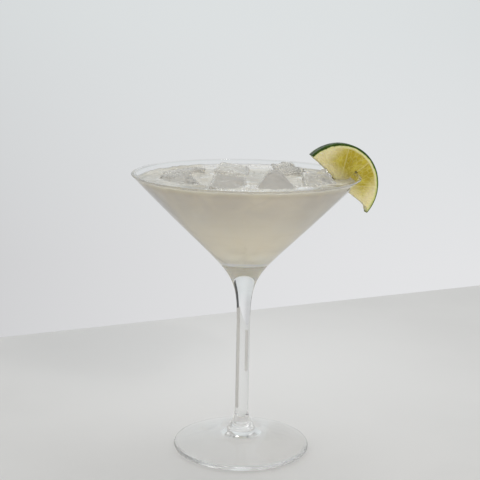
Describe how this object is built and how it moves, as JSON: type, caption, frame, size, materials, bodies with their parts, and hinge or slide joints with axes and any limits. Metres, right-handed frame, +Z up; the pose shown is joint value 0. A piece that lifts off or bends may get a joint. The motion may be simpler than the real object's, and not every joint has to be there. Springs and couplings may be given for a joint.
{
  "type": "margarita in a stemmed cocktail glass",
  "caption": "Cloudy pale lime drink with ice in a wide cone-bowled stemmed glass, with a half slice of lime hung on the rim.",
  "frame": {"origin": "middle of the underside of the foot, on the glass's axis", "axes": "+Z up along the stem; the lime slice hangs on the rim on the +X side, 14 degrees towards +Y"},
  "size_m": [0.1264, 0.1158, 0.1597],
  "materials": {
    "glass": "clear, polished",
    "drink": "cloudy liquid, wet",
    "ice": "clear to frosty, wet",
    "lime": "wet cut flesh with a dark green peel"
  },
  "bodies": {
    "root": {"glass": "glass", "drink": "drink", "lime": "lime", "ice_1": "ice", "ice_2": "ice", "ice_3": "ice", "ice_4": "ice", "ice_5": "ice", "ice_6": "ice", "ice_7": "ice"}
  },
  "joints": []
}
